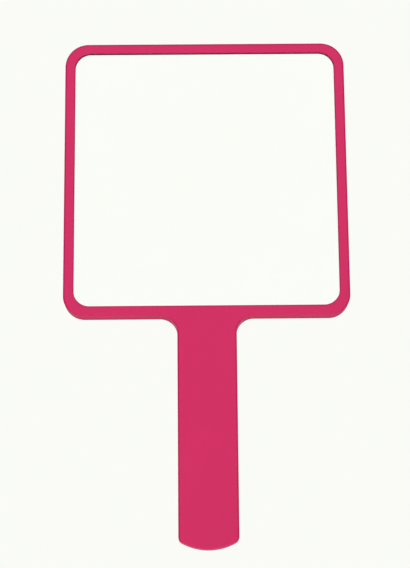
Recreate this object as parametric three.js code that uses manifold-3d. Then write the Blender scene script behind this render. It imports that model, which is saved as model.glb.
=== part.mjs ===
// A square-headed hand mirror, as used in hair salons: a flat moulded plastic frame and handle in one
// piece, a glass pane behind its lip, and a rear cover snapped and screwed on from behind.
// Units are millimetres. +Z runs up the handle to the head, the mirror faces -Y, and the origin is the
// centre of the grip: half-way along the handle, half-way through its thickness.
import * as THREE from "three";
import { mergeVertices } from "three/addons/utils/BufferGeometryUtils.js";
import Module from "manifold-3d";

const wasm = await Module();
wasm.setup();

// ---- Driving dimensions ----
const OVERALL_LENGTH = 265;
const HEAD_SIZE = 147.2; // the head is square
const HANDLE_WIDTH = 30.3;
const THICKNESS = 11;
const TOP_CORNER_R = 12.3; // the head's upper corners
const LOW_CORNER_R = 11; // its lower ones
const SHOULDER_R = 8.9; // the hollow curve between the head and the handle
const END_R = 28; // the bowed end of the handle
const END_CORNER_R = 3;
const EDGE_R = 1.6; // the rounding of the front and back edges
const RIM = 5.35; // the visible frame round the glass
const OPENING_CORNER_R = 8.2;

// ---- Shells ----
const PLATE = 1.5; // the front plate
const LIP = 0.7; // the plate's thinner lip in front of the glass
const WALL = 1.6;
const FRAME_DEPTH = 7; // the front frame's share of the thickness
const COVER_PLATE = 2;
const SHELL_GAP = 0.2; // at the parting line
const TONGUE = 0.9; // the cover's locating rib, inside the frame's wall
const TONGUE_REACH = 2; // how far it goes into the frame
const SLIP = 0.2; // clearance between parts that slide together
const PANEL_INSET = 9; // the sunk panel on the back of the head
const PANEL_DEPTH = 0.5;
const PANEL_CORNER_R = 6;

// ---- Glass and its fixing ----
const GLASS = 1.3;
const GLASS_OVERLAP = 1; // under the lip, all round
const SILVERING = 0.2; // reflective coat and its backing paint
const TAPE = 1.5;
const TAPE_WIDTH = 10;
const TAPE_LENGTH = 116;
const TAPE_COUNT = 4;
const TAPE_PITCH = 34;
const SEAT_GAP = 0.05; // between faces that rest on each other

// ---- Screws ----
const SCREW_HEAD_R = 2.4;
const SCREW_HEAD = 1.6;
const SCREW_HEAD_SIDE = 0.7; // the height of the head's straight side
const SCREW_CROWN_R = 2.2; // where the crown's curve turns down
const SHANK_R = 1.15;
const SHANK_TIP = 0.9; // the tapered end's length
const SHANK_TIP_R = 0.4;
const SHANK_LENGTH = 6;
const DRIVE_WIDTH = 0.75; // the cross recess
const DRIVE_SPAN = 2.9;
const DRIVE_DEPTH = 1;
const COUNTERBORE_R = 2.8;
const COUNTERBORE_DEPTH = 2.3;
const CLEARANCE_R = 1.5;
const PILOT_R = 1.3;
const BOSS_R = 3;
const COLLAR_R = 3.8;
const COLLAR_FLOOR = 1.5;

// ---- Snap beads ----
const SNAP_LENGTH = 10;
const SNAP_WIDTH = 0.8;
const SNAP_REACH = 0.35; // how far a bead stands out of the tongue
const SNAP_DEPTH = 1.5; // from the parting line to a bead's front
const SNAP_SPACING = 42;

// ---- Ribs ----
const RIB = 1.1;
const RIB_PITCH = 16;
const RIB_MARGIN = 9; // from the handle's ends to its first and last cross ribs
const ROOT = 0.2; // ribs, bosses and collars reach this far into the plate that they stand on
const GLASS_STOP_WIDTH = 40; // the rib that the glass stands on
const TAPE_RIB_SPAN = 7; // each tape rests on two ribs this far apart
const CROSS_RIB_Z = 35; // the cover's cross ribs, above and below the middle of the head

// ---- Places ----
const FRONT = -THICKNESS / 2;
const BACK = THICKNESS / 2;
const PARTING = FRONT + FRAME_DEPTH;
const COVER_INNER = BACK - COVER_PLATE;
const PLATE_BACK = FRONT + PLATE;
const LIP_BACK = FRONT + LIP;
const HEAD_HALF = HEAD_SIZE / 2;
const HANDLE_HALF = HANDLE_WIDTH / 2;
const HEAD_BOTTOM = (OVERALL_LENGTH - HEAD_SIZE) / 2;
const HEAD_TOP = HEAD_BOTTOM + HEAD_SIZE;
const HEAD_MIDDLE = HEAD_BOTTOM + HEAD_HALF;
const HANDLE_END = -HEAD_BOTTOM;
const GLASS_FRONT = LIP_BACK + SEAT_GAP;
const SILVER_FRONT = GLASS_FRONT + GLASS + SEAT_GAP;
const TAPE_FRONT = SILVER_FRONT + SILVERING + SEAT_GAP;
const RIB_FRONT = TAPE_FRONT + TAPE + SEAT_GAP; // where the cover's ribs meet the tapes
const SCREW_SEAT = BACK - COUNTERBORE_DEPTH;
const COLLAR_FRONT = SCREW_SEAT - COLLAR_FLOOR;
const NECK_SCREW = [8, HEAD_BOTTOM - 2];
const GRIP_SCREW_HIGH = 8;
const GRIP_SCREW_LOW = -42;
const SCREW_PLACES = {
  neck_screw_left: [-NECK_SCREW[0], NECK_SCREW[1]],
  neck_screw_right: NECK_SCREW,
  grip_screw_upper: [0, GRIP_SCREW_HIGH],
  grip_screw_lower: [0, GRIP_SCREW_LOW],
};
const ARC_STEPS = 6; // half the number of straight steps in each arc
const EDGE_STEPS = 4; // across a rounded edge
const ROUND_STEPS = 28;
const SAME_POINT = 1e-4; // corners this close are one
const PAST = 1; // how far a cut goes beyond the face that it leaves
const RIGHT = Math.PI / 2;

const plastic = { color: 0xd33163, roughness: 0.42, metalness: 0 };
const finishes = {
  frame: new THREE.MeshStandardMaterial(plastic),
  cover: new THREE.MeshStandardMaterial({ ...plastic, roughness: 0.55 }),
  glass: new THREE.MeshStandardMaterial({ color: 0xf4fbf8, roughness: 0.02, metalness: 0 }),
  silver: new THREE.MeshStandardMaterial({ color: 0xf2f3f2, roughness: 0.03, metalness: 1 }),
  foam: new THREE.MeshStandardMaterial({ color: 0xf1f0ea, roughness: 0.9, metalness: 0 }),
  steel: new THREE.MeshStandardMaterial({ color: 0xb9babd, roughness: 0.3, metalness: 1 }),
};

// ---- Outlines, drawn as x to the right and z up ----

// The whole silhouette, moved inwards by inset. Each arc keeps its centre, so walls stay even.
function silhouette(inset = 0) {
  const endCentre = HANDLE_END + END_R;
  const cornerX = HANDLE_HALF - END_CORNER_R;
  const cornerZ = endCentre - Math.sqrt((END_R - END_CORNER_R) ** 2 - cornerX ** 2);
  const sweep = Math.atan2(cornerX, endCentre - cornerZ);
  const shoulderX = HANDLE_HALF + SHOULDER_R;
  const shoulderZ = HEAD_BOTTOM - SHOULDER_R;
  const lowX = HEAD_HALF - LOW_CORNER_R;
  const lowZ = HEAD_BOTTOM + LOW_CORNER_R;
  const lowR = LOW_CORNER_R - inset;
  const topX = HEAD_HALF - TOP_CORNER_R;
  const topZ = HEAD_TOP - TOP_CORNER_R;
  const topR = TOP_CORNER_R - inset;
  const hollowR = SHOULDER_R + inset;
  const cornerR = END_CORNER_R - inset;
  const shape = new THREE.Shape();
  shape.absarc(0, endCentre, END_R - inset, -RIGHT - sweep, -RIGHT + sweep, false);
  shape.absarc(cornerX, cornerZ, cornerR, -RIGHT + sweep, 0, false);
  shape.absarc(shoulderX, shoulderZ, hollowR, 2 * RIGHT, RIGHT, true);
  shape.absarc(lowX, lowZ, lowR, -RIGHT, 0, false);
  shape.absarc(topX, topZ, topR, 0, RIGHT, false);
  shape.absarc(-topX, topZ, topR, RIGHT, 2 * RIGHT, false);
  shape.absarc(-lowX, lowZ, lowR, 2 * RIGHT, 3 * RIGHT, false);
  shape.absarc(-shoulderX, shoulderZ, hollowR, RIGHT, 0, true);
  shape.absarc(-cornerX, cornerZ, cornerR, 2 * RIGHT, 3 * RIGHT - sweep, false);
  shape.closePath();
  return shape;
}

// A rectangle with round corners, between two heights.
function roundedRectangle(halfWidth, low, high, radius) {
  const x = halfWidth - radius;
  const shape = new THREE.Shape();
  shape.absarc(x, low + radius, radius, -RIGHT, 0, false);
  shape.absarc(x, high - radius, radius, 0, RIGHT, false);
  shape.absarc(-x, high - radius, radius, RIGHT, 2 * RIGHT, false);
  shape.absarc(-x, low + radius, radius, 2 * RIGHT, 3 * RIGHT, false);
  shape.closePath();
  return shape;
}

// The opening in the frame, grown by a margin.
function opening(margin = 0) {
  const inset = RIM - margin;
  const radius = OPENING_CORNER_R + margin;
  return roundedRectangle(HEAD_HALF - inset, HEAD_BOTTOM + inset, HEAD_TOP - inset, radius);
}

// ---- Solids ----

function solidOf(geometry) {
  const bare = geometry.index ? geometry.toNonIndexed() : geometry.clone();
  bare.deleteAttribute("normal");
  bare.deleteAttribute("uv");
  const merged = mergeVertices(bare, SAME_POINT);
  const vertProperties = new Float32Array(merged.attributes.position.array);
  const triVerts = new Uint32Array(merged.index.array);
  return new wasm.Manifold(new wasm.Mesh({ numProp: 3, vertProperties, triVerts }));
}

// An outline extruded through the thickness, from one depth (y) to another.
function slab(shape, from, to, bevel = {}) {
  const options = { curveSegments: ARC_STEPS, bevelEnabled: false, ...bevel };
  const edge = options.bevelEnabled ? options.bevelThickness : 0;
  const geometry = new THREE.ExtrudeGeometry(shape, { ...options, depth: to - from - 2 * edge });
  geometry.rotateX(RIGHT);
  geometry.translate(0, to - edge, 0);
  return solidOf(geometry);
}

// The same with rounded edges at both ends.
function roundedSlab(shape, from, to) {
  return slab(shape, from, to, {
    bevelEnabled: true,
    bevelThickness: EDGE_R,
    bevelSize: EDGE_R,
    bevelOffset: -EDGE_R,
    bevelSegments: EDGE_STEPS,
  });
}

function box([x0, x1], [y0, y1], [z0, z1]) {
  const geometry = new THREE.BoxGeometry(x1 - x0, y1 - y0, z1 - z0);
  geometry.translate((x0 + x1) / 2, (y0 + y1) / 2, (z0 + z1) / 2);
  return solidOf(geometry);
}

// A round bar through the thickness, at (x, z).
function bar([x, z], radius, from, to) {
  const geometry = new THREE.CylinderGeometry(radius, radius, to - from, ROUND_STEPS);
  geometry.translate(x, (from + to) / 2, z);
  return solidOf(geometry);
}

function joined(solid, others) {
  return others.reduce((whole, other) => whole.add(other), solid);
}

function cut(solid, others) {
  return others.reduce((whole, other) => whole.subtract(other), solid);
}

const everywhere = [-OVERALL_LENGTH, OVERALL_LENGTH];
const screwPlaces = Object.values(SCREW_PLACES);

// Snap beads on the tongue's outer face, along the head's four sides. Play is the room left round each.
function snapBeads(play) {
  const half = SNAP_LENGTH / 2 + play;
  const outer = WALL + SLIP - SNAP_REACH - play;
  const inner = WALL + SLIP + TONGUE / 2;
  const front = PARTING - SNAP_DEPTH;
  const depths = [front - play, front + SNAP_WIDTH + play];
  const places = [-SNAP_SPACING, 0, SNAP_SPACING];
  const span = (middle) => [middle - half, middle + half];
  const right = [HEAD_HALF - inner, HEAD_HALF - outer];
  const left = [outer - HEAD_HALF, inner - HEAD_HALF];
  const top = [HEAD_TOP - inner, HEAD_TOP - outer];
  const bottom = [HEAD_BOTTOM + outer, HEAD_BOTTOM + inner];
  return [
    ...places.map((z) => box(right, depths, span(HEAD_MIDDLE + z))),
    ...places.map((z) => box(left, depths, span(HEAD_MIDDLE + z))),
    ...places.map((x) => box(span(x), depths, top)),
    ...places.filter((x) => x !== 0).map((x) => box(span(x), depths, bottom)), // the handle is at 0
  ];
}

// ---- Sub-parts ----

function frontFrame() {
  const whole = roundedSlab(silhouette(), FRONT, BACK);
  const shell = cut(whole, [
    box(everywhere, [PARTING, BACK + PAST], everywhere),
    slab(opening(), FRONT - PAST, BACK),
    slab(silhouette(WALL), PLATE_BACK, BACK),
    slab(opening(GLASS_OVERLAP + SLIP), LIP_BACK, BACK),
  ]);
  const root = PLATE_BACK - ROOT;
  const ribDepths = [root, COLLAR_FRONT - SLIP];
  const inside = HANDLE_HALF - WALL - SLIP - TONGUE - SLIP;
  const stopTop = HEAD_BOTTOM + RIM - GLASS_OVERLAP - SLIP;
  const stopSpan = [-GLASS_STOP_WIDTH / 2, GLASS_STOP_WIDTH / 2];
  const ribs = [
    box(stopSpan, [root, PARTING - SHELL_GAP], [stopTop - RIB, stopTop]),
    box([-RIB / 2, RIB / 2], ribDepths, [GRIP_SCREW_LOW, GRIP_SCREW_HIGH]),
  ];
  for (let z = HANDLE_END + RIB_MARGIN; z < HEAD_BOTTOM - RIB_MARGIN - RIB; z += RIB_PITCH) {
    ribs.push(box([-inside, inside], ribDepths, [z, z + RIB]));
  }
  const bosses = screwPlaces.map((at) => bar(at, BOSS_R, root, COLLAR_FRONT - SEAT_GAP));
  const pilots = screwPlaces.map((at) => bar(at, PILOT_R, PLATE_BACK, BACK));
  return cut(joined(shell, [...ribs, ...bosses]), [...pilots, ...snapBeads(SLIP)]);
}

function rearCover() {
  const whole = roundedSlab(silhouette(), FRONT, BACK);
  const front = PARTING + SHELL_GAP;
  const tray = cut(whole, [
    box(everywhere, [FRONT - PAST, front], everywhere),
    slab(silhouette(WALL), FRONT, COVER_INNER),
  ]);
  const root = COVER_INNER + ROOT;
  const tongueOutline = silhouette(WALL + SLIP);
  tongueOutline.holes.push(silhouette(WALL + SLIP + TONGUE));
  const tongue = slab(tongueOutline, PARTING - TONGUE_REACH, root);
  const tapeEnds = [HEAD_MIDDLE - TAPE_LENGTH / 2, HEAD_MIDDLE + TAPE_LENGTH / 2];
  const tapeRibs = tapePlaces()
    .flatMap((x) => [x - TAPE_RIB_SPAN / 2, x + TAPE_RIB_SPAN / 2])
    .map((x) => box([x - RIB / 2, x + RIB / 2], [RIB_FRONT, root], tapeEnds));
  const reach = ((TAPE_COUNT - 1) * TAPE_PITCH + TAPE_RIB_SPAN) / 2;
  const crossRibs = [-CROSS_RIB_Z, CROSS_RIB_Z].map((z) =>
    box([-reach, reach], [RIB_FRONT + TAPE, root], [HEAD_MIDDLE + z, HEAD_MIDDLE + z + RIB]),
  );
  const collars = screwPlaces.map((at) => bar(at, COLLAR_R, COLLAR_FRONT, root));
  const holes = screwPlaces.flatMap((at) => [
    bar(at, CLEARANCE_R, FRONT, BACK + PAST),
    bar(at, COUNTERBORE_R, SCREW_SEAT, BACK + PAST),
  ]);
  const panel = roundedRectangle(
    HEAD_HALF - PANEL_INSET,
    HEAD_BOTTOM + PANEL_INSET,
    HEAD_TOP - PANEL_INSET,
    PANEL_CORNER_R,
  );
  const body = joined(tray, [tongue, ...snapBeads(0), ...tapeRibs, ...crossRibs, ...collars]);
  return cut(body, [...holes, slab(panel, BACK - PANEL_DEPTH, BACK + PAST)]);
}

function mirrorGlass() {
  return slab(opening(GLASS_OVERLAP), GLASS_FRONT, GLASS_FRONT + GLASS);
}

function mirrorSilvering() {
  return slab(opening(GLASS_OVERLAP), SILVER_FRONT, SILVER_FRONT + SILVERING);
}

function tapePlaces() {
  return Array.from({ length: TAPE_COUNT }, (_, i) => (i - (TAPE_COUNT - 1) / 2) * TAPE_PITCH);
}

function foamTape(x) {
  return box(
    [x - TAPE_WIDTH / 2, x + TAPE_WIDTH / 2],
    [TAPE_FRONT, TAPE_FRONT + TAPE],
    [HEAD_MIDDLE - TAPE_LENGTH / 2, HEAD_MIDDLE + TAPE_LENGTH / 2],
  );
}

// A pan-head self-tapping screw, its head towards +Y.
function screw([x, z]) {
  const seat = SCREW_SEAT + SEAT_GAP;
  const profile = new THREE.Path();
  profile.moveTo(0, seat - SHANK_LENGTH);
  profile.lineTo(SHANK_TIP_R, seat - SHANK_LENGTH);
  profile.lineTo(SHANK_R, seat - SHANK_LENGTH + SHANK_TIP);
  profile.lineTo(SHANK_R, seat);
  profile.lineTo(SCREW_HEAD_R, seat);
  profile.lineTo(SCREW_HEAD_R, seat + SCREW_HEAD_SIDE);
  profile.quadraticCurveTo(SCREW_CROWN_R, seat + SCREW_HEAD, 0, seat + SCREW_HEAD);
  const turned = new THREE.LatheGeometry(profile.getPoints(6), ROUND_STEPS);
  turned.translate(x, 0, z);
  const top = seat + SCREW_HEAD;
  const slots = [
    [DRIVE_SPAN, DRIVE_WIDTH],
    [DRIVE_WIDTH, DRIVE_SPAN],
  ].map(([wide, high]) =>
    box([x - wide / 2, x + wide / 2], [top - DRIVE_DEPTH, top + PAST], [z - high / 2, z + high / 2]),
  );
  return cut(solidOf(turned), slots);
}

// ---- Assembly ----

const handMirror = new THREE.Group();

function place(name, solid, material) {
  const { vertProperties, triVerts } = solid.getMesh();
  const geometry = new THREE.BufferGeometry();
  geometry.setAttribute("position", new THREE.BufferAttribute(vertProperties, 3));
  geometry.setIndex(new THREE.BufferAttribute(triVerts, 1));
  geometry.computeVertexNormals();
  const mesh = new THREE.Mesh(geometry, material);
  mesh.name = name;
  handMirror.add(mesh);
}

place("front_frame", frontFrame(), finishes.frame);
place("rear_cover", rearCover(), finishes.cover);
place("mirror_glass", mirrorGlass(), finishes.glass);
place("mirror_silvering", mirrorSilvering(), finishes.silver);
tapePlaces().forEach((x, i) => place(`foam_tape_${i + 1}`, foamTape(x), finishes.foam));
for (const [name, at] of Object.entries(SCREW_PLACES)) {
  place(name, screw(at), finishes.steel);
}

export default handMirror;
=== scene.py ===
"""Looks for the square-headed hand mirror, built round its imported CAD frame.

The two plastic shells are rebuilt here with smooth roundings and finer edges than the CAD solids have, and
stand for them. The glass, silvering, foam and screws are the CAD nodes with better materials.
Lengths are in metres in the row frame: +Z up the handle, the mirror faces -Y, origin at the grip.
"""

import math

import bmesh
import bpy
from mathutils import Matrix, Vector


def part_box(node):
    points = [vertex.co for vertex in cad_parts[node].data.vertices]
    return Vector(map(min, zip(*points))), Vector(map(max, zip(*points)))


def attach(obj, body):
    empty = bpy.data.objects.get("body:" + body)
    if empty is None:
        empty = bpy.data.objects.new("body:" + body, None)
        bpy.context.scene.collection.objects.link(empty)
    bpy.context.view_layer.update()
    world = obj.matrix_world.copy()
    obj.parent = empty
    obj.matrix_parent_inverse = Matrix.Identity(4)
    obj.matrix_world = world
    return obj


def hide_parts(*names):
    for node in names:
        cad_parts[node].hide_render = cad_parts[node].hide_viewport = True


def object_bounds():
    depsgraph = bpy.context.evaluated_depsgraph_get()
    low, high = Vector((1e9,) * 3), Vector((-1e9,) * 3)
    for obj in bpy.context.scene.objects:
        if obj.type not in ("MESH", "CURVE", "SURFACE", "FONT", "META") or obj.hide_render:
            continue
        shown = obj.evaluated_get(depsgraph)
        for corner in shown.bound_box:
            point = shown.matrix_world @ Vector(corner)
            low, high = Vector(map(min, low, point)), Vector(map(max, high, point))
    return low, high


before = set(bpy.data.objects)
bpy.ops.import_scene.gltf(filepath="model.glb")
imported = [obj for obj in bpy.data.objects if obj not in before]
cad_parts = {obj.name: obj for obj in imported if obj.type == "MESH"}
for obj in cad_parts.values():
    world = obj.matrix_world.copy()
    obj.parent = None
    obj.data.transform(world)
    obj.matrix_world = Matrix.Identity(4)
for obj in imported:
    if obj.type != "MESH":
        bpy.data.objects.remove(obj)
cad_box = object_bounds()

MM = 0.001

# ---- Places that the CAD frame gives ----
LOW, HIGH = cad_box
FRONT, BACK = LOW.y, HIGH.y
HANDLE_END, HEAD_TOP = LOW.z, HIGH.z
HEAD_HALF = HIGH.x
HEAD_BOTTOM = HEAD_TOP - 2 * HEAD_HALF  # the head is square
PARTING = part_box("front_frame")[1].y
GLASS_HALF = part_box("mirror_glass")[1].x
SCREWS = ("neck_screw_left", "neck_screw_right", "grip_screw_upper", "grip_screw_lower")

# ---- Dimensions shared with the CAD source ----
HANDLE_HALF = 15.15 * MM
TOP_CORNER_R = 12.3 * MM
LOW_CORNER_R = 11 * MM
SHOULDER_R = 8.9 * MM
END_R = 28 * MM
END_CORNER_R = 3 * MM
EDGE_R = 1.6 * MM
OPENING_CORNER_R = 8.2 * MM
PLATE = 1.5 * MM
LIP = 0.7 * MM
WALL = 1.6 * MM
COVER_PLATE = 2 * MM
SHELL_GAP = 0.2 * MM
TONGUE = 0.9 * MM
TONGUE_REACH = 2 * MM
SLIP = 0.2 * MM
GLASS_OVERLAP = 1 * MM
PANEL_INSET = 9 * MM
PANEL_DEPTH = 0.5 * MM
PANEL_CORNER_R = 6 * MM
COUNTERBORE_R = 2.8 * MM
COUNTERBORE_DEPTH = 2.3 * MM
CLEARANCE_R = 1.5 * MM
PILOT_R = 1.3 * MM
BOSS_R = 3 * MM
COLLAR_R = 3.8 * MM
COLLAR_FLOOR = 1.5 * MM

# ---- Finer than the CAD source ----
FINE_R = 0.3 * MM  # the small rounding that a mould leaves on every sharp edge
PANEL_EDGE_R = 0.25 * MM
ROUND_STEPS = 10  # across a rounding
ARC_STEPS = 20  # along a corner
RING_STEPS = 48  # round a screw hole
SHARP_ANGLE = math.radians(40)  # edges bent further than this stay sharp

LIP_BACK = FRONT + LIP
PLATE_BACK = FRONT + PLATE
COVER_INNER = BACK - COVER_PLATE
SCREW_SEAT = BACK - COUNTERBORE_DEPTH
COLLAR_FRONT = SCREW_SEAT - COLLAR_FLOOR
BOSS_BACK = COLLAR_FRONT - SHELL_GAP
QUARTER = math.pi / 2

# ---- Colours, linear ----
PINK = (0.637, 0.0125, 0.118, 1)
BACKDROP = (0.956, 0.965, 0.922, 1)
LIGHT_TINT = (0.991, 1, 0.956, 1)

# ---- Materials ----
MOST = (0.3, 0.7)  # the range that nearly all of a noise pattern lies in
REFRACTION = 1.5  # glass and plastic alike
PLASTIC_GLOSS = 0.25
FRAME_ROUGHNESS = 0.4
COVER_ROUGHNESS = 0.5
FRAME_GRAIN = 0.35
COVER_GRAIN = 0.7  # coarser than the frame's

# ---- Camera and stage ----
LENS = 100
CAMERA_PLACE = Vector((-0.00605, -0.7928, -0.1033))
CAMERA_PITCH = math.radians(12.78)
CAMERA_YAW = math.radians(0.38)
CAMERA_ROLL = math.radians(-0.51)
FRONT_LIGHT = 1.02  # what the mirror shows to the camera
FRONT_RING = 1.6
BACK_LIGHT = 0.9
BACK_RING = 1.45
BACK_LIGHT_LOW = 0.1  # what is left of the back light below the horizon
HORIZON = (-0.15, 0.05)  # where it fades, as the height of the light's direction
# Where each ring of light lies: how far a direction points along the mirror's axis, from 0 to 1.
RING_OUTER = 0.4
RING_FULL = 0.7
RING_INNER = 0.85
MIDDLE_EDGE = 0.91
FLOOR_Z = -0.3
FLOOR_SIZE = 30
FLOOR_GLOW = 0.6  # the paper's own brightness, which stands for light from a low table
FLOOR_SOLID = 0.35  # the floor is whole within this radius
FLOOR_CLEAR = 1.1  # and gone beyond this one


# ---- Outlines: closed lists of (x, z) ----


def arc(x, z, radius, start, end, steps=ARC_STEPS):
    """Points along an arc about (x, z). Angles are in radians, anticlockwise from +X towards +Z."""
    turns = (start + (end - start) * i / steps for i in range(steps + 1))
    return [(x + radius * math.cos(a), z + radius * math.sin(a)) for a in turns]


def mirrored(points):
    """The same points on the other side of x = 0, in the order that keeps going round."""
    return [(-x, z) for x, z in reversed(points)]


def silhouette(inset):
    """The whole outline, moved inwards by inset. It starts in the middle of the handle's end."""
    end_centre = HANDLE_END + END_R
    corner_x = HANDLE_HALF - END_CORNER_R
    corner_z = end_centre - math.sqrt((END_R - END_CORNER_R) ** 2 - corner_x**2)
    sweep = math.atan2(corner_x, end_centre - corner_z)
    low_x = HEAD_HALF - LOW_CORNER_R
    low_z = HEAD_BOTTOM + LOW_CORNER_R
    top_x = HEAD_HALF - TOP_CORNER_R
    top_z = HEAD_TOP - TOP_CORNER_R
    shoulder_x = HANDLE_HALF + SHOULDER_R
    shoulder_z = HEAD_BOTTOM - SHOULDER_R
    right = [
        *arc(0, end_centre, END_R - inset, -QUARTER, -QUARTER + sweep)[1:],
        *arc(corner_x, corner_z, END_CORNER_R - inset, -QUARTER + sweep, 0)[1:],
        *arc(shoulder_x, shoulder_z, SHOULDER_R + inset, 2 * QUARTER, QUARTER),
        *arc(low_x, low_z, LOW_CORNER_R - inset, -QUARTER, 0),
        *arc(top_x, top_z, TOP_CORNER_R - inset, 0, QUARTER),
    ]
    middle = (0, HANDLE_END + inset)
    return [middle, *right, *mirrored(right)]


def rounded_rectangle(half_width, low, high, radius):
    x = half_width - radius
    right = [
        *arc(x, low + radius, radius, -QUARTER, 0),
        *arc(x, high - radius, radius, 0, QUARTER),
    ]
    return [*right, *mirrored(right)]


def opening(margin):
    """The opening round the glass, grown by margin."""
    inset = HEAD_HALF - GLASS_HALF + GLASS_OVERLAP - margin
    return rounded_rectangle(
        HEAD_HALF - inset, HEAD_BOTTOM + inset, HEAD_TOP - inset, OPENING_CORNER_R + margin
    )


def panel(margin):
    """The sunk panel on the back of the head, grown by margin."""
    inset = PANEL_INSET - margin
    return rounded_rectangle(
        HEAD_HALF - inset, HEAD_BOTTOM + inset, HEAD_TOP - inset, PANEL_CORNER_R + margin
    )


def circle(centre, radius):
    return arc(centre.x, centre.z, radius, 0, 4 * QUARTER, RING_STEPS)[:-1]


def rounding(width, depth=None):
    """(inset, depth) pairs round an edge, from face to wall: a quarter of a circle or an ellipse."""
    turns = (QUARTER * i / ROUND_STEPS for i in range(ROUND_STEPS + 1))
    return [(width * (1 - math.sin(a)), (depth or width) * (1 - math.cos(a))) for a in turns]


# ---- Mesh building ----


def loft(bm, outline, steps):
    """Walls through outline(offset) at depth y, for each (offset, y) in steps. Returns the end rings."""
    rings = []
    for offset, y in steps:
        rings.append([bm.verts.new((x, y, z)) for x, z in outline(offset)])
    for lower, upper in zip(rings, rings[1:]):
        for i, corner in enumerate(lower):
            bm.faces.new((lower[i - 1], corner, upper[i], upper[i - 1]))
    return rings[0], rings[-1]


def fill(bm, *rings):
    """One flat face inside the first ring and round the others."""
    edges = []
    for ring in rings:
        for i, corner in enumerate(ring):
            known = bm.edges.get((ring[i - 1], corner))
            edges.append(known or bm.edges.new((ring[i - 1], corner)))
    bmesh.ops.triangle_fill(bm, use_beauty=True, edges=edges)


def finished(bm, name):
    """The mesh as an object, smooth but for its corners."""
    bmesh.ops.recalc_face_normals(bm, faces=bm.faces)
    mesh = bpy.data.meshes.new(name)
    bm.to_mesh(mesh)
    bm.free()
    mesh.shade_smooth()
    mesh.set_sharp_from_angle(angle=SHARP_ANGLE)
    piece = bpy.data.objects.new(name, mesh)
    bpy.context.scene.collection.objects.link(piece)
    weighted = piece.modifiers.new("even_normals", "WEIGHTED_NORMAL")
    weighted.keep_sharp = True
    return piece


def screw_centre(name):
    low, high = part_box(name)
    return (low + high) / 2


# ---- The two shells ----


def frame_shell():
    """The front frame and front half of the handle, with its lip, glass seat and screw bosses."""
    bm = bmesh.new()
    outer = [(inset, FRONT + depth) for inset, depth in rounding(EDGE_R)]
    outer += [(inset, PARTING - depth) for inset, depth in reversed(rounding(FINE_R))]
    outer += [(WALL, PARTING), (WALL, PLATE_BACK)]
    face_rim, plate_rim = loft(bm, silhouette, outer)
    seat = GLASS_OVERLAP + SLIP
    inner = [(margin, FRONT + depth) for margin, depth in rounding(EDGE_R, LIP)]
    inner += [(seat, LIP_BACK), (seat, PLATE_BACK)]
    face_hole, plate_hole = loft(bm, opening, inner)
    bosses = []
    for name in SCREWS:
        centre = screw_centre(name)
        steps = [(BOSS_R, PLATE_BACK), (BOSS_R, BOSS_BACK), (PILOT_R, BOSS_BACK), (PILOT_R, PLATE_BACK)]
        foot, bottom = loft(bm, lambda radius: circle(centre, radius), steps)
        fill(bm, bottom)
        bosses.append(foot)
    fill(bm, face_rim, face_hole)
    fill(bm, plate_rim, plate_hole, *bosses)
    return finished(bm, "frame_shell")


def cover_shell():
    """The rear cover, with its locating rib, sunk panel and counterbored screw holes."""
    bm = bmesh.new()
    front = PARTING + SHELL_GAP
    rib = WALL + SLIP
    outer = [(inset, BACK - depth) for inset, depth in rounding(EDGE_R)]
    outer += [(inset, front + depth) for inset, depth in reversed(rounding(FINE_R))]
    outer += [(WALL, front), (WALL, COVER_INNER), (rib, COVER_INNER), (rib, PARTING - TONGUE_REACH)]
    outer += [(rib + TONGUE, PARTING - TONGUE_REACH), (rib + TONGUE, COVER_INNER)]
    face_rim, inner_rim = loft(bm, silhouette, outer)
    edge = rounding(PANEL_EDGE_R)
    step = [(margin, BACK - depth) for margin, depth in edge]
    step += [(-margin, BACK - PANEL_DEPTH + depth) for margin, depth in reversed(edge[:-1])]
    panel_rim, panel_floor = loft(bm, panel, step)
    fill(bm, panel_floor)
    mouths = []
    collars = []
    for name in SCREWS:
        centre = screw_centre(name)
        steps = [(COUNTERBORE_R + inset, BACK - depth) for inset, depth in edge]
        steps += [(COUNTERBORE_R, SCREW_SEAT), (CLEARANCE_R, SCREW_SEAT), (CLEARANCE_R, COLLAR_FRONT)]
        steps += [(COLLAR_R, COLLAR_FRONT), (COLLAR_R, COVER_INNER)]
        mouth, collar = loft(bm, lambda radius: circle(centre, radius), steps)
        mouths.append(mouth)
        collars.append(collar)
    fill(bm, face_rim, panel_rim, *mouths)
    fill(bm, inner_rim, *collars)
    return finished(bm, "cover_shell")


# ---- Materials ----


def new_material(name):
    """A material with node trees on. Returns it, its tree and its surface shader."""
    made = bpy.data.materials.new(name)
    made.use_nodes = True
    return made, made.node_tree, made.node_tree.nodes["Principled BSDF"]


def node(tree, kind, settings=None, **inputs):
    """A new node. Each input is a value or the output of another node; _ in its name stands for a space."""
    made = tree.nodes.new(kind)
    for key, value in (settings or {}).items():
        setattr(made, key, value)
    for key, value in inputs.items():
        socket = made.inputs[key.replace("_", " ")]
        if isinstance(value, bpy.types.NodeSocket):
            tree.links.new(value, socket)
        else:
            socket.default_value = value
    return made


def place(tree, scale=(1, 1, 1)):
    """Positions in the row frame, in metres, stretched by scale."""
    where = node(tree, "ShaderNodeTexCoord").outputs["Object"]
    return node(tree, "ShaderNodeMapping", Vector=where, Scale=scale).outputs["Vector"]


def noise(tree, where, size, detail=2.0, rough=0.5):
    """Noise from 0 to 1 whose features are about this size."""
    made = node(tree, "ShaderNodeTexNoise", Vector=where, Scale=1 / size, Detail=detail, Roughness=rough)
    return made.outputs["Fac"]


def ranged(tree, value, low, high, to_low, to_high):
    """Value from low..high mapped to to_low..to_high, and kept inside."""
    made = node(tree, "ShaderNodeMapRange", Value=value)
    for socket, number in zip(("From Min", "From Max", "To Min", "To Max"), (low, high, to_low, to_high)):
        made.inputs[socket].default_value = number
    return made.outputs["Result"]


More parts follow.
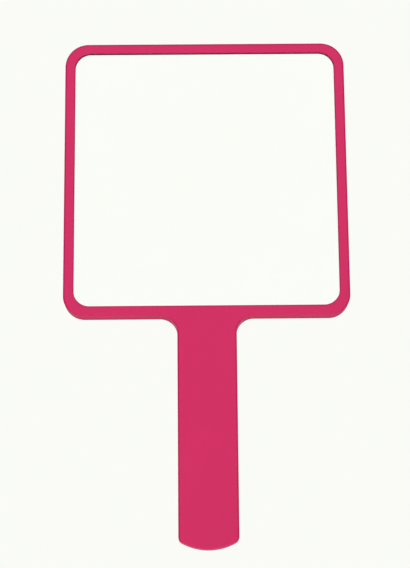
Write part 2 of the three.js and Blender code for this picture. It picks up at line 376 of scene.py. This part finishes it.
def calculated(tree, operation, *values):
    """A sum or product of numbers, each the output of another node."""
    made = node(tree, "ShaderNodeMath", {"operation": operation})
    for socket, value in zip(made.inputs, values):
        tree.links.new(value, socket)
    return made.outputs["Value"]


def blended(tree, factor, first, second):
    """Colour between first and second."""
    made = node(tree, "ShaderNodeMix", {"data_type": "RGBA"}, Factor=factor)
    colour_inputs = [s for s in made.inputs if s.type == "RGBA"]
    for socket, colour in zip(colour_inputs, (first, second)):
        if isinstance(colour, bpy.types.NodeSocket):
            tree.links.new(colour, socket)
        else:
            socket.default_value = colour
    return [s for s in made.outputs if s.type == "RGBA"][0]


def bumped(tree, height, strength, distance, normal=None):
    made = node(tree, "ShaderNodeBump", Height=height, Strength=strength, Distance=distance)
    if normal:
        tree.links.new(normal, made.inputs["Normal"])
    return made.outputs["Normal"]


def tinted(colour, factor):
    return (*(min(channel * factor, 1) for channel in colour[:3]), 1)


def moulded_plastic(name, colour, roughness, grain):
    """Satin moulded plastic: fine grain, a slow waviness, faint rubbing marks along the handle."""
    made, tree, shader = new_material(name)
    where = place(tree)
    slow = noise(tree, where, 45 * MM)
    fine = noise(tree, where, 0.5 * MM, 3)
    rubs = noise(tree, place(tree, (1, 1, 0.05)), 0.9 * MM, 4, 0.6)
    patches = noise(tree, where, 12 * MM, 3)
    base = blended(tree, ranged(tree, slow, *MOST, 0, 1), tinted(colour, 0.975), tinted(colour, 1.025))
    worn = ranged(tree, rubs, 0.62, 0.8, 0, 0.18)
    tree.links.new(blended(tree, worn, base, tinted(colour, 1.12)), shader.inputs["Base Color"])
    smooth = ranged(tree, patches, *MOST, roughness - 0.05, roughness + 0.05)
    marks = ranged(tree, rubs, 0.55, 0.8, 0, 0.1)
    tree.links.new(calculated(tree, "ADD", smooth, marks), shader.inputs["Roughness"])
    wavy = bumped(tree, slow, 0.25, 0.15 * MM)
    tree.links.new(bumped(tree, fine, grain, 0.05 * MM, wavy), shader.inputs["Normal"])
    shader.inputs["Specular IOR Level"].default_value = PLASTIC_GLOSS
    shader.inputs["IOR"].default_value = REFRACTION
    return made


def clear_glass(name):
    """Float glass with the faintest smears."""
    made, tree, shader = new_material(name)
    where = place(tree)
    smears = noise(tree, place(tree, (1, 1, 0.3)), 14 * MM, 4, 0.6)
    tint = blended(tree, noise(tree, where, 90 * MM), (0.985, 0.987, 0.986, 1), (0.995, 0.996, 0.996, 1))
    tree.links.new(tint, shader.inputs["Base Color"])
    tree.links.new(ranged(tree, smears, 0.62, 0.85, 0, 0.02), shader.inputs["Roughness"])
    shader.inputs["Transmission Weight"].default_value = 1
    shader.inputs["IOR"].default_value = REFRACTION
    return made


def silver_coat(name):
    """The reflective coat: almost perfect, a little dull in slow clouds."""
    made, tree, shader = new_material(name)
    cloud = noise(tree, place(tree), 30 * MM, 3)
    tint = blended(tree, cloud, (0.965, 0.97, 0.965, 1), (0.985, 0.985, 0.98, 1))
    tree.links.new(tint, shader.inputs["Base Color"])
    tree.links.new(ranged(tree, cloud, 0.35, 0.8, 0.0, 0.012), shader.inputs["Roughness"])
    shader.inputs["Metallic"].default_value = 1
    return made


def foam(name):
    """White closed-cell foam."""
    made, tree, shader = new_material(name)
    where = place(tree)
    cells = node(tree, "ShaderNodeTexVoronoi", Vector=where, Scale=1 / (0.6 * MM)).outputs["Distance"]
    tint = blended(tree, cells, (0.72, 0.71, 0.66, 1), (0.86, 0.85, 0.81, 1))
    tree.links.new(tint, shader.inputs["Base Color"])
    tree.links.new(ranged(tree, cells, 0, 0.7, 0.75, 0.95), shader.inputs["Roughness"])
    tree.links.new(bumped(tree, cells, 0.6, 0.2 * MM), shader.inputs["Normal"])
    return made


def zinc_plated_steel(name):
    """Bright zinc plate with a faint yellow-blue cloud and fine turning marks."""
    made, tree, shader = new_material(name)
    where = place(tree)
    cloud = noise(tree, where, 1.6 * MM, 3)
    scratches = noise(tree, place(tree, (1, 0.15, 0.15)), 0.12 * MM, 3)
    mixed = ranged(tree, cloud, 0.35, 0.65, 0, 1)
    tint = blended(tree, mixed, (0.50, 0.51, 0.55, 1), (0.62, 0.60, 0.55, 1))
    tree.links.new(tint, shader.inputs["Base Color"])
    tree.links.new(ranged(tree, scratches, *MOST, 0.22, 0.4), shader.inputs["Roughness"])
    tree.links.new(bumped(tree, scratches, 0.3, 0.02 * MM), shader.inputs["Normal"])
    shader.inputs["Metallic"].default_value = 1
    return made


def finish_node(name, material):
    """Gives a CAD node its material."""
    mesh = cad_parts[name].data
    mesh.materials.clear()
    mesh.materials.append(material)


def finish_shell(piece, node_name, material):
    """Gives a rebuilt shell its material, and makes it stand for its CAD node."""
    piece.data.materials.append(material)
    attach(piece, "root")
    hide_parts(node_name)


# ---- Stage ----


def ring_light(tree, along, side, ring, middle):
    """Light from one side of the object: a bright soft ring round a plain middle."""
    whole = ranged(tree, along, side * RING_OUTER, side * RING_FULL, 0, ring)
    dip = ranged(tree, along, side * RING_INNER, side * MIDDLE_EDGE, 0, ring - middle)
    return calculated(tree, "SUBTRACT", whole, dip)


def studio_light():
    """The surroundings: a plain pale backdrop for the camera, and light from the front and from behind."""
    world = bpy.data.worlds.new("studio")
    world.use_nodes = True
    tree = world.node_tree
    tree.nodes.clear()
    direction = node(tree, "ShaderNodeTexCoord").outputs["Generated"]
    parts = node(tree, "ShaderNodeSeparateXYZ", Vector=direction).outputs
    front = ring_light(tree, parts["Y"], -1, FRONT_RING, FRONT_LIGHT)
    back = ring_light(tree, parts["Y"], 1, BACK_RING, BACK_LIGHT)
    above = ranged(tree, parts["Z"], *HORIZON, BACK_LIGHT_LOW, 1)
    level = calculated(tree, "MULTIPLY_ADD", back, above, front)
    lit = node(tree, "ShaderNodeBackground", Color=LIGHT_TINT, Strength=level)
    seen = node(tree, "ShaderNodeBackground", Color=BACKDROP, Strength=1.0)
    is_camera = node(tree, "ShaderNodeLightPath").outputs["Is Camera Ray"]
    mix = node(tree, "ShaderNodeMixShader", Fac=is_camera)
    tree.links.new(lit.outputs["Background"], mix.inputs[1])
    tree.links.new(seen.outputs["Background"], mix.inputs[2])
    output = node(tree, "ShaderNodeOutputWorld")
    tree.links.new(mix.outputs["Shader"], output.inputs["Surface"])
    bpy.context.scene.world = world


def floor_material():
    """Matt pale paper under the object, fading out so that the plain backdrop shows beyond it."""
    made, tree, shader = new_material("floor_paper")
    where = place(tree)
    fibres = noise(tree, where, 4 * MM, 3)
    tint = blended(tree, fibres, (0.83, 0.835, 0.81, 1), (0.86, 0.865, 0.84, 1))
    tree.links.new(tint, shader.inputs["Base Color"])
    shader.inputs["Roughness"].default_value = 0.9
    shader.inputs["Specular IOR Level"].default_value = 0.1
    distance = node(tree, "ShaderNodeVectorMath", {"operation": "LENGTH"})
    tree.links.new(where, distance.inputs[0])
    far = ranged(tree, distance.outputs["Value"], FLOOR_SOLID, FLOOR_CLEAR, 0, 1)
    shader.inputs["Emission Color"].default_value = BACKDROP
    shader.inputs["Emission Strength"].default_value = FLOOR_GLOW
    clear = node(tree, "ShaderNodeBsdfTransparent")
    mix = node(tree, "ShaderNodeMixShader", Fac=far)
    tree.links.new(shader.outputs["BSDF"], mix.inputs[1])
    tree.links.new(clear.outputs["BSDF"], mix.inputs[2])
    tree.links.new(mix.outputs["Shader"], tree.nodes["Material Output"].inputs["Surface"])
    return made


def pale_floor():
    half = FLOOR_SIZE / 2
    mesh = bpy.data.meshes.new("floor")
    corners = [(-half, -half, 0), (half, -half, 0), (half, half, 0), (-half, half, 0)]
    mesh.from_pydata(corners, [], [(0, 1, 2, 3)])
    mesh.materials.append(floor_material())
    floor = bpy.data.objects.new("floor", mesh)
    floor.location.z = FLOOR_Z
    bpy.context.scene.collection.objects.link(floor)


def photo_camera():
    data = bpy.data.cameras.new("camera")
    data.lens = LENS
    camera = bpy.data.objects.new("camera", data)
    turned = Matrix.Rotation(-CAMERA_YAW, 3, "Z")
    tilted = Matrix.Rotation(QUARTER + CAMERA_PITCH, 3, "X")
    rolled = Matrix.Rotation(CAMERA_ROLL, 3, "Z")
    camera.rotation_euler = (turned @ tilted @ rolled).to_euler()
    camera.location = CAMERA_PLACE
    bpy.context.scene.collection.objects.link(camera)
    bpy.context.scene.camera = camera


bpy.context.scene.view_settings.view_transform = "Standard"
studio_light()
pale_floor()
photo_camera()

shell_plastic = moulded_plastic("frame_plastic", PINK, FRAME_ROUGHNESS, FRAME_GRAIN)
cover_plastic = moulded_plastic("cover_plastic", PINK, COVER_ROUGHNESS, COVER_GRAIN)
finish_shell(frame_shell(), "front_frame", shell_plastic)
finish_shell(cover_shell(), "rear_cover", cover_plastic)
finish_node("mirror_glass", clear_glass("glass"))
finish_node("mirror_silvering", silver_coat("silvering"))
tape_foam = foam("foam")
for tape in (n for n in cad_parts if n.startswith("foam_tape")):
    finish_node(tape, tape_foam)
steel = zinc_plated_steel("screw_steel")
for screw in SCREWS:
    finish_node(screw, steel)
